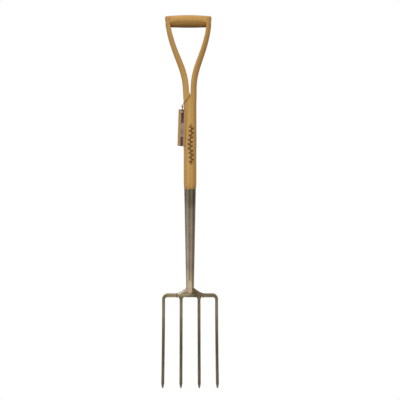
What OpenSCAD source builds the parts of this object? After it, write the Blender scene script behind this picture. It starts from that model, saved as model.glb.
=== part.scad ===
// Digging fork for garden soil: four forged tines, a yoke and tapered socket of
// stainless steel, and an ash shaft whose top is split, steamed and bent into a
// wishbone that holds a crosspiece grip. A card tag hangs from the split on a
// jute string.
// Millimetres. The origin is on the shaft's axis at the height of the tine tips,
// +Z runs up the shaft, and the front of the fork faces -Y.

/* [Overall] */
// Height from the tine tips to the crown of the grip
overall_h = 1120; // [1060:5:1180]

/* [Tines] */
// Distance between the outer tines, centre to centre, at the shoulders
outer_pitch = 159; // [152:1:166]
// Distance between the inner tines, centre to centre
inner_pitch = 53.6; // [50:0.2:57]
// Width of a tine seen from the front
tine_w = 9.2; // [8:0.2:10]
// Depth of a tine, front to back
tine_d = 9.6; // [8:0.2:11]
// Length of the ground point at the end of a tine
point_l = 14; // [10:1:24]
// How far each outer tine spreads outwards at its tip
tine_splay = 2.8; // [0:0.2:5]
// How far the middle of a tine bows to the back
tine_bow = 9; // [3:1:10]
// How far the tips come forward of the crossbar
tip_forward = 14; // [6:1:14]

/* [Crossbar and yoke] */
// Height of the crossbar's centreline above the tine tips
bar_z = 279; // [270:1:290]
// Height of the crossbar's section
bar_h = 12; // [10:0.5:13]
// Depth of the crossbar's section
bar_d = 9.6; // [8:0.2:11]
// Half of the yoke's width, to the welds where the outer tines meet it
yoke_half = 38; // [36:1:40]
// Depth of the yoke under the socket
yoke_d = 17; // [14:0.5:19]

/* [Socket] */
// Height of the socket's foot above the tine tips
socket_z = 303; // [300:1:306]
// Length of the tapered socket
socket_l = 297; // [270:1:310]
// Outer radius of the socket at its rim
socket_r_rim = 17.4; // [16.6:0.1:17.8]
// Outer radius of the socket at its foot
socket_r_foot = 11.8; // [11.2:0.1:12.4]
// Wall of the socket at its rim
wall_rim = 1.6; // [1.4:0.1:2]
// Wall of the socket at its foot
wall_foot = 2.6; // [2.2:0.1:3]

/* [Shaft and wishbone] */
// Radius of the straight part of the shaft
shaft_r = 19; // [18.4:0.1:19.6]
// Height of the wishbone, from the start of the flare to the crown
bow_h = 260; // [250:5:270]
// Half of the wishbone's width over the arms at the top
bow_half = 69.5; // [64:0.5:72]
// Thickness of an arm where the split starts, square to its own line
arm_t_root = 18.6; // [17.5:0.1:19]
// Thickness of an arm under the grip, square to its own line
arm_t_top = 15.2; // [14.5:0.1:16]
// Length of the plain stretch of shaft that a rack's clip can take
clip_l = 100; // [60:5:110]
// How far the wishbone leans to -X at the top, as bent wood does
bow_lean = 5.4; // [0:0.2:6]
// Depth of the arms at the grip, front to back
arm_depth_top = 31; // [28:0.5:34]

/* [Grip] */
// Height of the grip's section
grip_h = 37.6; // [34:0.2:39]
// Depth of the grip's section at mid length
grip_d = 31; // [28:0.5:33]

/* [Fastenings] */
// Radius of the rivets through the wood
rivet_r = 2.5; // [2:0.1:3]
// Radius of the washers under the rivets' heads
washer_r = 6; // [5:0.2:6.5]

/* [Tag] */
// Width of the card tag
tag_w = 25; // [20:1:27]
// Length of the card tag
tag_l = 110; // [80:1:112]
// Thickness of the card tag
tag_t = 0.8; // [0.6:0.1:1]
// Radius of the punched hole in the tag
tag_hole_r = 2.6; // [2.4:0.1:3]
// How far the tag is turned round the shaft, in degrees
tag_yaw = 25; // [20:1:30]
// How far the tag leans on the shaft, in degrees
tag_tilt = 2.2; // [1.6:0.1:4]
// Diameter of the jute string
string_d = 1.4; // [1.2:0.1:1.5]

/* [Hidden] */
$fn = 96;

wood = [0.73, 0.58, 0.33];
wood_grip = [0.66, 0.47, 0.22];
steel = [0.52, 0.49, 0.43];
dark_steel = [0.42, 0.39, 0.32];
card = [0.76, 0.59, 0.42];
jute = [0.50, 0.44, 0.27];

// heights that follow from the sizes above
rim_z = socket_z + socket_l;
flare_z = overall_h - bow_h;
taper_end_z = socket_z + 96;
tang_top_z = socket_z + 62;
grip_mid_z = overall_h - grip_h / 2 - 0.4;
split_z = flare_z + 21;
plane_z = overall_h - 45;
clip_top_z = rim_z + 18 + clip_l;

// ---- small helpers ----------------------------------------------------------

// a body through rings of points, all with the same number, closed at both ends;
// each ring runs anticlockwise as seen from the end where the list finishes
module loft(rings) {
  n = len(rings[0]);
  m = len(rings);
  polyhedron(
    points = [for (r = rings) for (p = r) p],
    faces = concat(
      [[for (i = [0:n - 1]) i]],
      [for (k = [0:m - 2]) for (i = [0:n - 1])
        [(k + 1) * n + i, k * n + (i + 1) % n, k * n + i]],
      [for (k = [0:m - 2]) for (i = [0:n - 1])
        [(k + 1) * n + i, (k + 1) * n + (i + 1) % n, k * n + (i + 1) % n]],
      [[for (i = [n - 1:-1:0]) (m - 1) * n + i]]),
    convexity = 6);
}

// a rectangle with cut corners, anticlockwise
function cut_rect(w, d, c) =
  [[w / 2, -d / 2 + c], [w / 2, d / 2 - c], [w / 2 - c, d / 2], [-w / 2 + c, d / 2],
   [-w / 2, d / 2 - c], [-w / 2, -d / 2 + c], [-w / 2 + c, -d / 2], [w / 2 - c, -d / 2]];

function mix(a, b, t) = a + (b - a) * t;
function clamp01(t) = min(1, max(0, t));
function ease(t) = let (u = clamp01(t)) u * u * (3 - 2 * u);

// ---- the tines' line --------------------------------------------------------

// side curve: bowed to the back in the middle, tip forward
function tine_y(z) =
  let (u = clamp01(1 - z / (bar_z - bar_h / 2)))
  16 * tine_bow * u * u * (1 - u) * (1 - u) - tip_forward * u * u * u;
// how full the section is, from the point upwards
function fullness(z) = z >= point_l ? 1 : 0.13 + 0.87 * sqrt(max(0, z) / point_l);
// heights of the rings along a tine's point and its straight part, up to top
function tine_heights(top) =
  concat([for (q = [0, 0.05, 0.14, 0.28, 0.46, 0.7]) q * point_l],
         [for (i = [0:18]) mix(point_l, top, i / 18)]);

function section_at(x, z, w, d, f) =
  [for (p = cut_rect(w * f, d * f, min(w, d) * 0.24 * f)) [x + p[0], tine_y(z) + p[1], z]];

module outer_tine(side) {
  bend_r = 12;
  top = bar_z - bend_r;
  half = outer_pitch / 2;
  upright = [for (z = tine_heights(top))
    section_at(half + tine_splay * pow(1 - z / top, 1.6), z, tine_w, tine_d, fullness(z))];
  corner = [for (a = [10:10:90])
    let (f = a / 90, w = mix(tine_w, bar_h, ease(f)), d = mix(tine_d, bar_d, ease(f)),
         cx = half - bend_r, cz = bar_z - bend_r)
    [for (p = cut_rect(w, d, min(w, d) * 0.24))
      [cx + (bend_r + p[0]) * cos(a), tine_y(top) * (1 - f) + p[1], cz + (bend_r + p[0]) * sin(a)]]];
  bar = [for (x = [mix(half - bend_r, yoke_half, 0.5), yoke_half])
    [for (p = cut_rect(bar_h, bar_d, min(bar_h, bar_d) * 0.24)) [x, p[1], bar_z + p[0]]]];
  mirror([side < 0 ? 1 : 0, 0, 0]) loft(concat(upright, corner, bar));
}

module inner_tine(side) {
  top = bar_z - bar_h / 2;
  half = inner_pitch / 2;
  rings = concat(
    [for (z = tine_heights(top - 8))
      section_at(half + 0.3 * tine_splay * pow(1 - z / top, 1.6), z, tine_w, tine_d, fullness(z))],
    [for (z = [top - 4, top])
      [for (p = cut_rect(tine_w, tine_d, min(tine_w, tine_d) * 0.24))
        [half + p[0], p[1], z]]]);
  mirror([side < 0 ? 1 : 0, 0, 0]) loft(rings);
}

// ---- the yoke ---------------------------------------------------------------

// the two flats forged on the neck, front and back, start above the socket's foot
flat_top_z = socket_z + 24;
function flat_y(z) =
  socket_outer(flat_top_z) - (flat_top_z - z) * 0.1;
function socket_outer(z) = mix(socket_r_foot, socket_r_rim, (z - socket_z) / socket_l);
function socket_inner(z) =
  mix(socket_r_foot - wall_foot, socket_r_rim - wall_rim, (z - socket_z) / socket_l);

module neck_flats() {
  low = bar_z - 20;
  for (s = [0, 1]) mirror([0, s, 0])
    rotate([90, 0, 90]) translate([0, 0, -30]) linear_extrude(60)
      polygon([[flat_y(flat_top_z), flat_top_z], [flat_y(low), low],
               [40, low], [40, flat_top_z + 0.001]]);
}

// upper edge of the shoulders, from the weld up to the neck
function shoulder_z(x) =
  bar_z + bar_h / 2 + 0.8
  + (socket_z - bar_z - bar_h / 2 - 0.8)
    * pow(clamp01((yoke_half - abs(x)) / (yoke_half - socket_r_foot + 0.4)), 1.4);

module yoke() color(steel) {
  n = 30;
  low = bar_z - bar_h / 2;
  difference() {
    union() {
      loft([for (i = [0:n])
        let (x = mix(-yoke_half, yoke_half, i / n),
             h = shoulder_z(x) - low,
             d = mix(bar_d + 2, yoke_d, ease((yoke_half - abs(x)) / 16)),
             c = min(h, d) * 0.26)
        [for (p = cut_rect(h, d, c)) [x, -p[1], low + h / 2 + p[0]]]]);
      // the round boss that the socket's foot sits on
      translate([0, 0, bar_z + 5]) cylinder(h = socket_z - bar_z - 5, r1 = yoke_d / 2 - 0.6, r2 = socket_r_foot);
    }
    neck_flats();
  }
  // the tang inside the socket, with a rounded top
  translate([0, 0, socket_z - 1])
    cylinder(h = tang_top_z - 3 - socket_z + 1, r1 = socket_inner(socket_z) - 0.05, r2 = socket_inner(tang_top_z - 3) - 0.05);
  translate([0, 0, tang_top_z - 3])
    cylinder(h = 3, r1 = socket_inner(tang_top_z - 3) - 0.05, r2 = socket_inner(tang_top_z - 3) - 3);
}

module tine_welds() color(dark_steel) {
  c = min(bar_h, bar_d) * 0.24;
  // collars of weld on the bar against the ends of the yoke
  for (s = [0, 1]) mirror([s, 0, 0])
    translate([yoke_half, 0, bar_z]) rotate([90, 0, 90])
      linear_extrude(2.6) difference() {
        polygon([for (p = cut_rect(bar_h + 1.4, bar_d + 1.6, c + 0.4)) [p[1], p[0]]]);
        polygon([for (p = cut_rect(bar_h, bar_d, c)) [p[1], p[0]]]);
      }
  // fillets of weld round the roots of the inner tines
  for (s = [0, 1]) mirror([s, 0, 0])
    translate([inner_pitch / 2, 0, 0]) difference() {
      loft([for (q = [[-4, 0.5], [-2.4, 1.4], [-1.1, 2.9], [0, 5.2]])
        let (w = tine_w + q[1] * 1.7, d = min(yoke_d - 2, tine_d + q[1] * 1.1))
        [for (p = cut_rect(w, d, 2.6)) [p[0], p[1], bar_z - bar_h / 2 + q[0]]]]);
      translate([0, 0, bar_z - bar_h / 2 - 6]) linear_extrude(8)
        polygon(cut_rect(tine_w, tine_d, min(tine_w, tine_d) * 0.24));
    }
}

// ---- the socket -------------------------------------------------------------

socket_rivet_z = rim_z - 16;

module socket() color(steel)
  difference() {
    translate([0, 0, socket_z]) cylinder(h = socket_l, r1 = socket_r_foot, r2 = socket_r_rim);
    translate([0, 0, socket_z - 0.01])
      cylinder(h = socket_l + 0.02, r1 = socket_inner(socket_z), r2 = socket_inner(rim_z));
    neck_flats();
    translate([0, 0, socket_rivet_z]) rotate([0, 90, 0]) cylinder(h = 60, r = rivet_r, center = true);
  }

module socket_rivet() color(dark_steel) {
  reach = socket_outer(socket_rivet_z);
  translate([0, 0, socket_rivet_z]) rotate([0, 90, 0])
    cylinder(h = 2 * reach + 0.5, r = rivet_r, center = true);
}

// ---- the shaft and its wishbone --------------------------------------------

// outer edge of an arm as a quartic Bezier curve: height and half width
arm_ctl = [[flare_z, shaft_r], [flare_z + 0.2 * bow_h, shaft_r + 6],
           [flare_z + 0.34 * bow_h, 5.5], [flare_z + 0.555 * bow_h, bow_half + 0.5],
           [overall_h, bow_half]];
function bez(t) =
  let (u = 1 - t)
  pow(u, 4) * arm_ctl[0] + 4 * pow(u, 3) * t * arm_ctl[1] + 6 * u * u * t * t * arm_ctl[2]
  + 4 * u * pow(t, 3) * arm_ctl[3] + pow(t, 4) * arm_ctl[4];
function bez_d(t) = (bez(min(1, t + 0.002)) - bez(max(0, t - 0.002)));
function lean(z) = -bow_lean * max(0, z - flare_z) / bow_h;

// under and beside the grip the inner faces of the arms are flat
face_w = bow_half - arm_t_top - 3.3;
function grip_face(z) = face_w + 0.14 * (z - plane_z);
function arm_thickness(z) =
  mix(arm_t_root, arm_t_top, clamp01((z - split_z) / (plane_z - split_z)))
  + 0.9 * exp(-pow((z - flare_z - 0.4 * bow_h) / 40, 2));
function inner_w(t) =
  let (b = bez(t), d = bez_d(t), z = b[0], free = b[1] - arm_thickness(z) * norm(d) / d[0])
  z < split_z ? -0.5
  : z > plane_z ? grip_face(z)
  : mix(max(1.7, free), grip_face(z), ease((z - plane_z + 22) / 22));
function arm_depth(z) =
  mix(2 * shaft_r - 0.1 + 0.8 * ease((z - flare_z) / 20), arm_depth_top,
      ease((z - split_z) / (0.55 * bow_h)));

// one D-shaped section: flat on the inside, round on the outside
function arm_section(side, z, wi, wo, b) =
  let (n = 14)
  [for (i = [0:n])
    let (a = side * (-90 + 180 * i / n), e = 0.96)
    [lean(z) + side * (wi + (wo - wi) * pow(abs(cos(a)), e)), b * sign(sin(a)) * pow(abs(sin(a)), e), z]];

module arm(side) {
  n = 34;
  first = arm_section(side, flare_z - 0.5, -0.5, shaft_r - 0.1, shaft_r - 0.15);
  run = [for (i = [0:n])
    let (t = mix(0.035, 1, i / n), b = bez(t))
    arm_section(side, b[0], inner_w(t), b[1], arm_depth(b[0]) / 2)];
  last = arm_section(side, overall_h + 2, grip_face(overall_h + 2), bow_half, arm_depth_top / 2);
  loft(concat([first], run, [last]));
}

// the crowned top that the arms and the grip share
crown_r = 612;
module crown_tool() {
  difference() {
    translate([-100, -40, overall_h - 30]) cube([200, 80, 60]);
    translate([lean(overall_h), 0, overall_h - crown_r]) rotate([90, 0, 0])
      cylinder(h = 100, r = crown_r, center = true, $fn = 720);
  }
}

crotch_rivet_z = split_z - 20;
crotch_seat = shaft_r - 1.2;
grip_seat = bow_half - 3;
grip_rivet_z = overall_h - 21;

module shaft() color(wood) {
  difference() {
    union() {
      // tapered end inside the socket
      translate([0, 0, taper_end_z])
        cylinder(h = rim_z - taper_end_z + 0.1, r1 = socket_inner(taper_end_z) - 0.05, r2 = socket_inner(rim_z) - 0.05);
      // shoulder eased down to the socket's rim
      translate([0, 0, rim_z]) cylinder(h = 4, r1 = socket_r_rim + 0.1, r2 = socket_r_rim + 0.6);
      translate([0, 0, rim_z + 4]) cylinder(h = 14, r1 = socket_r_rim + 0.6, r2 = shaft_r);
      // straight part: a plain stretch that a rack's clip takes, then the rest up to the flare
      translate([0, 0, rim_z + 18]) cylinder(h = clip_l, r = shaft_r);
      translate([0, 0, clip_top_z]) cylinder(h = 5, r1 = shaft_r, r2 = shaft_r + 0.45);
      translate([0, 0, clip_top_z + 5]) cylinder(h = flare_z - clip_top_z - 5, r1 = shaft_r + 0.45, r2 = shaft_r + 0.1);
      arm(1);
      arm(-1);
    }
    crown_tool();
    // rivet through the tapered end
    translate([0, 0, socket_rivet_z]) rotate([0, 90, 0]) cylinder(h = 60, r = rivet_r, center = true);
    // rivet that stops the split, with spot faces for its washers
    translate([0, 0, crotch_rivet_z]) rotate([0, 90, 0]) cylinder(h = 60, r = rivet_r, center = true);
    for (s = [-1, 1]) translate([s * (crotch_seat + 5), 0, crotch_rivet_z]) rotate([0, 90, 0])
      cylinder(h = 10, r = washer_r + 0.1, center = true);
    // rivet through both arms and the grip
    translate([lean(grip_rivet_z), 0, grip_rivet_z]) rotate([0, 90, 0]) cylinder(h = 200, r = rivet_r, center = true);
    for (s = [-1, 1]) translate([lean(grip_rivet_z) + s * (grip_seat + 5), 0, grip_rivet_z]) rotate([0, 90, 0])
      cylinder(h = 10, r = washer_r + 0.1, center = true);
  }
}

// ---- the grip ---------------------------------------------------------------

// egg-shaped barrel between the flat inner faces of the arms: full at the brow, a
// third of the way down, with a keel below it that the fingers close round
function brow_z(s) = grip_top(s) - 14 - 4.5 * pow(s, 4);
function grip_section(s) =
  let (n = 32, top = grip_top(s), low = overall_h - grip_h - 1.2 * (1 - s * s) + 0.9,
       brow = brow_z(s), d = grip_d / 2 - 0.6 * s * s)
  [for (i = [0:n - 1])
    let (a = 360 * i / n, up = sin(a) >= 0,
         z = up ? brow + (top - brow) * pow(sin(a), 0.6) : brow - (brow - low) * pow(-sin(a), 0.9))
    [lean(z) + s * grip_face(z), d * sign(cos(a)) * pow(abs(cos(a)), up ? 0.6 : 1.2), z]];
function grip_top(s) =
  let (x = s * grip_face(overall_h - 2)) overall_h - x * x / (2 * crown_r);

module grip() color(wood_grip)
  difference() {
    loft([for (i = [0:20]) grip_section(-1 + 0.1 * i)]);
    translate([lean(grip_rivet_z), 0, grip_rivet_z]) rotate([0, 90, 0]) cylinder(h = 200, r = rivet_r, center = true);
  }

// ---- rivets and washers -----------------------------------------------------

module through_rivet(x, z, seat) {
  translate([x, 0, z]) rotate([0, 90, 0]) {
    cylinder(h = 2 * seat, r = rivet_r, center = true);
    for (s = [0, 1]) mirror([0, 0, s]) {
      translate([0, 0, seat - 0.01]) cylinder(h = 1.01, r = rivet_r);
      translate([0, 0, seat + 1]) cylinder(h = 0.6, r1 = rivet_r + 1.3, r2 = rivet_r + 0.7);
    }
  }
}

module washer_pair(x, z, seat) {
  for (s = [-1, 1]) translate([x + s * (seat + 0.5), 0, z]) rotate([0, 90, 0])
    difference() {
      cylinder(h = 1, r = washer_r, center = true);
      cylinder(h = 2, r = rivet_r, center = true);
    }
}

module grip_rivet() color(dark_steel) through_rivet(lean(grip_rivet_z), grip_rivet_z, grip_seat);
module grip_rivet_washers() color(steel) washer_pair(lean(grip_rivet_z), grip_rivet_z, grip_seat);
module crotch_rivet() color(dark_steel) through_rivet(0, crotch_rivet_z, crotch_seat);
module crotch_rivet_washers() color(steel) washer_pair(0, crotch_rivet_z, crotch_seat);

// ---- the hang tag and its string -------------------------------------------

// the hole's centre, which the tag swings about
tag_pivot = [-23, -11.1, 832];
// how far the tag's top edge is above that
tag_head = 6.4;

module hang_tag() color(card)
  translate(tag_pivot) rotate([0, 0, -tag_yaw]) rotate([0, tag_tilt, 0]) rotate([90, 0, 0])
    linear_extrude(tag_t, center = true) difference() {
      translate([-tag_w / 2, tag_head - tag_l]) square([tag_w, tag_l]);
      circle(r = tag_hole_r);
    }

// route of the string, from the knot up to the split, through it from front to
// back, down round the back of the left arm to the knot, and on through the tag's
// hole and up to the knot again
string_route = [
  [-22.9, -8.0, 847.5], [-22.2, -9.6, 850], [-19.6, -12.2, 855], [-15.6, -14.9, 861],
  [-10.2, -18.0, 868], [-5.0, -20.0, 875], [-1.5, -20.6, 880.5], [-0.6, -20.2, 884.5],
  [-0.6, -17.6, 887.2], [-0.6, -12, 887.6], [-0.6, 0, 887.2], [-0.6, 12, 887.6],
  [-0.6, 17.6, 887.2], [-0.6, 20.2, 884.5], [-1.5, 20.6, 880.5], [-5.2, 20.0, 874.5],
  [-11.2, 17.6, 867.5], [-16.6, 12.6, 860.5], [-20.1, 6.0, 854], [-21.8, -0.6, 849.5],
  [-22.9, -5.0, 847], [-23.3, -7.6, 843.8], [-23.2, -8.2, 839.5], [-22.6, -8.3, 835.4],
  [-22.5, -9.0, 832.9], [-23.0, -11.1, 831.7], [-23.8, -13.2, 832.9], [-24.1, -13.9, 835.4],
  [-24.0, -13.4, 839.5], [-23.6, -11.2, 844.0], [-23.2, -8.8, 847.0]];

function spline(p, k, t) =
  let (m = len(p) - 1, a = p[max(0, k - 1)], b = p[k], c = p[min(m, k + 1)], d = p[min(m, k + 2)])
  0.5 * (2 * b + (c - a) * t + (2 * a - 5 * b + 4 * c - d) * t * t
         + (3 * b - a - 3 * c + d) * t * t * t);
function unit(v) = v / norm(v);

module tube(route, r, steps) {
  path = concat([for (k = [0:len(route) - 2]) for (j = [0:steps - 1]) spline(route, k, j / steps)],
                [route[len(route) - 1]]);
  n = len(path);
  tan = [for (i = [0:n - 1]) unit(path[min(n - 1, i + 1)] - path[max(0, i - 1)])];
  // each ring's first spoke is the last one's, turned as little as possible
  side = [for (i = 0, s = unit(cross(tan[0], [0, 1, 0])); i < n;
              i = i + 1, s = i < n ? unit(s - (s * tan[i]) * tan[i]) : s) s];
  loft([for (i = [0:n - 1])
    let (u = side[i], v = cross(tan[i], u))
    [for (k = [0:7]) path[i] + r * (cos(45 * k) * u + sin(45 * k) * v)]]);
}

module tag_string() color(jute) tube(string_route, string_d / 2, 2);

module tag_knot() color(jute) {
  translate([-23.0, -7.4, 847.2]) sphere(r = 2.5);
  translate([-23.5, -9.6, 845.8]) sphere(r = 1.9);
}

shaft();
grip();
grip_rivet();
grip_rivet_washers();
crotch_rivet();
crotch_rivet_washers();
socket();
socket_rivet();
yoke();
color(dark_steel) outer_tine(-1);  // outer_tine_left
color(dark_steel) outer_tine(1);  // outer_tine_right
color(dark_steel) inner_tine(-1);  // inner_tine_left
color(dark_steel) inner_tine(1);  // inner_tine_right
tine_welds();
hang_tag();
tag_string();
tag_knot();
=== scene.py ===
import math

import bmesh
import bpy
import numpy as np
from mathutils import Matrix, Vector


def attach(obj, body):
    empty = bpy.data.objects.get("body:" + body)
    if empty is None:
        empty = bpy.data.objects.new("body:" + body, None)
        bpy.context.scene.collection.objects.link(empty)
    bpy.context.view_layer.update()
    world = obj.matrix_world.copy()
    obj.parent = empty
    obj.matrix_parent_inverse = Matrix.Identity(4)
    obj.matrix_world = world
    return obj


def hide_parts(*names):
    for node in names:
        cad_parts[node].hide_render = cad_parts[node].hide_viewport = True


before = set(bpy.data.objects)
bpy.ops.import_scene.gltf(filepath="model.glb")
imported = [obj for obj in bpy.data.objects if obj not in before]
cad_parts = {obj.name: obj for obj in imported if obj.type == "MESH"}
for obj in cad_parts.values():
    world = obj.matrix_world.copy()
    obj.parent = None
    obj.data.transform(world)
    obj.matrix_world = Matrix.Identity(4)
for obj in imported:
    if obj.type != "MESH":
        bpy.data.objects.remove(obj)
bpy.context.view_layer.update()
MM = 0.001

# ---------------------------------------------------------------- sizes, in mm
# the same rules as the CAD model's, so that the pieces sit on its bodies
H = 1120.0
BOW_H, BOW_HALF = 260.0, 69.5
SHAFT_R = 19.0
SOCKET_Z, SOCKET_L = 303.0, 297.0
R_RIM, R_FOOT = 17.4, 11.8
WALL_RIM, WALL_FOOT = 1.6, 2.6
BAR_Z, BAR_H, BAR_D = 279.0, 12.0, 9.6
OUTER_PITCH, INNER_PITCH = 159.0, 53.6
TINE_W, TINE_D, POINT_L = 9.2, 9.6, 14.0
SPLAY, BOW, TIP_FWD = 2.8, 9.0, 14.0
YOKE_HALF, YOKE_D = 38.0, 17.0
T_ROOT, T_TOP, LEAN, ARM_D = 18.6, 15.2, 5.4, 31.0
GRIP_H, GRIP_D = 37.6, 31.0
RIM_Z = SOCKET_Z + SOCKET_L
FLARE_Z = H - BOW_H
SPLIT_Z = FLARE_Z + 21
PLANE_Z = H - 45
FACE_W = BOW_HALF - T_TOP - 3.3
CROWN_R = 612.0
GRIP_RIVET_Z, CROTCH_RIVET_Z, SOCKET_RIVET_Z = H - 21, SPLIT_Z - 20, RIM_Z - 16
GRIP_SEAT, CROTCH_SEAT = BOW_HALF - 3, SHAFT_R - 1.2
FLAT_TOP_Z = SOCKET_Z + 24
CLIP_TOP_Z = RIM_Z + 18 + 100


def mix(a, b, t):
    return a + (b - a) * t


def clamp01(t):
    return min(1.0, max(0.0, t))


def ease(t):
    u = clamp01(t)
    return u * u * (3 - 2 * u)


def socket_outer(z):
    return mix(R_FOOT, R_RIM, (z - SOCKET_Z) / SOCKET_L)


def socket_inner(z):
    return mix(R_FOOT - WALL_FOOT, R_RIM - WALL_RIM, (z - SOCKET_Z) / SOCKET_L)


def flat_y(z):
    return socket_outer(FLAT_TOP_Z) - (FLAT_TOP_Z - z) * 0.1


def tine_y(z):
    u = clamp01(1 - z / (BAR_Z - BAR_H / 2))
    return 16 * BOW * u * u * (1 - u) * (1 - u) - TIP_FWD * u**3


# ---------------------------------------------------------------- mesh helpers
def new_object(name, verts, faces, scale=MM):
    me = bpy.data.meshes.new(name)
    me.from_pydata([tuple(float(c) * scale for c in v) for v in verts], [], faces)
    me.validate()
    me.update()
    ob = bpy.data.objects.new(name, me)
    bpy.context.scene.collection.objects.link(ob)
    return ob


def fix_normals(ob, merge=0.0):
    bm = bmesh.new()
    bm.from_mesh(ob.data)
    if merge:
        bmesh.ops.remove_doubles(bm, verts=bm.verts, dist=merge)
        bmesh.ops.dissolve_degenerate(bm, dist=1e-7, edges=bm.edges)
    bmesh.ops.recalc_face_normals(bm, faces=bm.faces)
    bm.to_mesh(ob.data)
    bm.free()
    ob.data.update()


def smooth(ob, angle=None):
    for p in ob.data.polygons:
        p.use_smooth = True
    if angle is not None:
        ob.data.set_sharp_from_angle(angle=math.radians(angle))


def grid_faces(rows, cols, close_cols=True, off=0):
    out = []
    for r in range(rows - 1):
        for c in range(cols if close_cols else cols - 1):
            d = (c + 1) % cols
            out.append((off + r * cols + c, off + r * cols + d, off + (r + 1) * cols + d, off + (r + 1) * cols + c))
    return out


def loft(name, rings, caps=True):
    n = len(rings[0])
    verts = [p for r in rings for p in r]
    faces = grid_faces(len(rings), n)
    if caps:
        faces.append(tuple(range(n - 1, -1, -1)))
        faces.append(tuple((len(rings) - 1) * n + i for i in range(n)))
    ob = new_object(name, verts, faces)
    fix_normals(ob)
    return ob


def lathe(name, profile, n=96, axis="z", at=(0, 0, 0), merge=1e-6):
    """profile is (radius, along) pairs; a radius of 0 closes an end."""
    verts, faces = [], []
    for r, h in profile:
        for k in range(n):
            a = 2 * math.pi * k / n
            p = (r * math.cos(a), r * math.sin(a), h)
            if axis == "x":
                p = (p[2], p[0], p[1])
            verts.append(tuple(p[i] + at[i] for i in range(3)))
    faces = grid_faces(len(profile), n)
    ob = new_object(name, verts, faces)
    fix_normals(ob, merge)
    return ob


def set_vec(ob, name, values):
    a = ob.data.attributes.new(name, "FLOAT_VECTOR", "POINT")
    a.data.foreach_set("vector", np.asarray(values, dtype=np.float32).ravel())


def set_val(ob, name, values):
    a = ob.data.attributes.new(name, "FLOAT", "POINT")
    a.data.foreach_set("value", np.asarray(values, dtype=np.float32).ravel())


def coords(ob):
    a = np.empty(len(ob.data.vertices) * 3)
    ob.data.vertices.foreach_get("co", a)
    return a.reshape(-1, 3) / MM


def set_coords(ob, a):
    ob.data.vertices.foreach_set("co", (np.asarray(a) * MM).ravel())
    ob.data.update()


def apply_mods(ob):
    dg = bpy.context.evaluated_depsgraph_get()
    dg.update()
    me = bpy.data.meshes.new_from_object(ob.evaluated_get(dg))
    old = ob.data
    ob.modifiers.clear()
    ob.data = me
    bpy.data.meshes.remove(old)


def cut(ob, tools):
    for t in tools:
        m = ob.modifiers.new("cut", "BOOLEAN")
        m.operation = "DIFFERENCE"
        m.solver = "EXACT"
        m.object = t
    apply_mods(ob)
    for t in tools:
        bpy.data.objects.remove(t)


def fuse(name, parts, voxel, passes=6, factor=0.5):
    """Joins closed solids into one skin by voxels, then eases it."""
    bm = bmesh.new()
    for p in parts:
        bm.from_mesh(p.data)
        bpy.data.objects.remove(p)
    me = bpy.data.meshes.new(name)
    bm.to_mesh(me)
    bm.free()
    ob = bpy.data.objects.new(name, me)
    bpy.context.scene.collection.objects.link(ob)
    m = ob.modifiers.new("remesh", "REMESH")
    m.mode = "VOXEL"
    m.voxel_size = voxel * MM
    s = ob.modifiers.new("smooth", "SMOOTH")
    s.factor = factor
    s.iterations = passes
    apply_mods(ob)
    return ob


def finish_piece(ob, mat, body, nodes=()):
    ob.data.materials.clear()
    ob.data.materials.append(mat)
    if nodes:
        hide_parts(*nodes)
    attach(ob, body)


# ---------------------------------------------------------------- shader helpers
class S:
    """A shader value: arithmetic on it makes math nodes."""

    def __init__(self, tree, sock):
        self.t, self.s = tree, sock

    def _op(self, op, *others, clamp=False):
        n = self.t.nodes.new("ShaderNodeMath")
        n.operation = op
        n.use_clamp = clamp
        for i, v in enumerate((self, *others)):
            if isinstance(v, S):
                self.t.links.new(v.s, n.inputs[i])
            else:
                n.inputs[i].default_value = float(v)
        return S(self.t, n.outputs[0])

    def __add__(self, o): return self._op("ADD", o)
    def __radd__(self, o): return self._op("ADD", o)
    def __sub__(self, o): return self._op("SUBTRACT", o)
    def __rsub__(self, o): return (self * -1) + o
    def __mul__(self, o): return self._op("MULTIPLY", o)
    def __rmul__(self, o): return self._op("MULTIPLY", o)
    def __truediv__(self, o): return self._op("DIVIDE", o)
    def __neg__(self): return self * -1
    def pow(self, o): return self._op("POWER", o)
    def abs(self): return self._op("ABSOLUTE")
    def sin(self): return self._op("SINE")
    def cos(self): return self._op("COSINE")
    def sqrt(self): return self._op("SQRT")
    def fract(self): return self._op("FRACT")
    def floor(self): return self._op("FLOOR")
    def mod(self, o): return self._op("FLOORED_MODULO", o)
    def min(self, o): return self._op("MINIMUM", o)
    def max(self, o): return self._op("MAXIMUM", o)
    def gt(self, o): return self._op("GREATER_THAN", o)
    def lt(self, o): return self._op("LESS_THAN", o)
    def atan2(self, o): return self._op("ARCTAN2", o)
    def clamp(self): return self._op("ADD", 0.0, clamp=True)

    def step(self, a, b):
        """0 below a, 1 above b, smooth between; a may be above b."""
        n = self.t.nodes.new("ShaderNodeMapRange")
        n.interpolation_type = "SMOOTHSTEP"
        self.t.links.new(self.s, n.inputs["Value"])
        n.inputs["From Min"].default_value = a
        n.inputs["From Max"].default_value = b
        return S(self.t, n.outputs["Result"])


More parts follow.
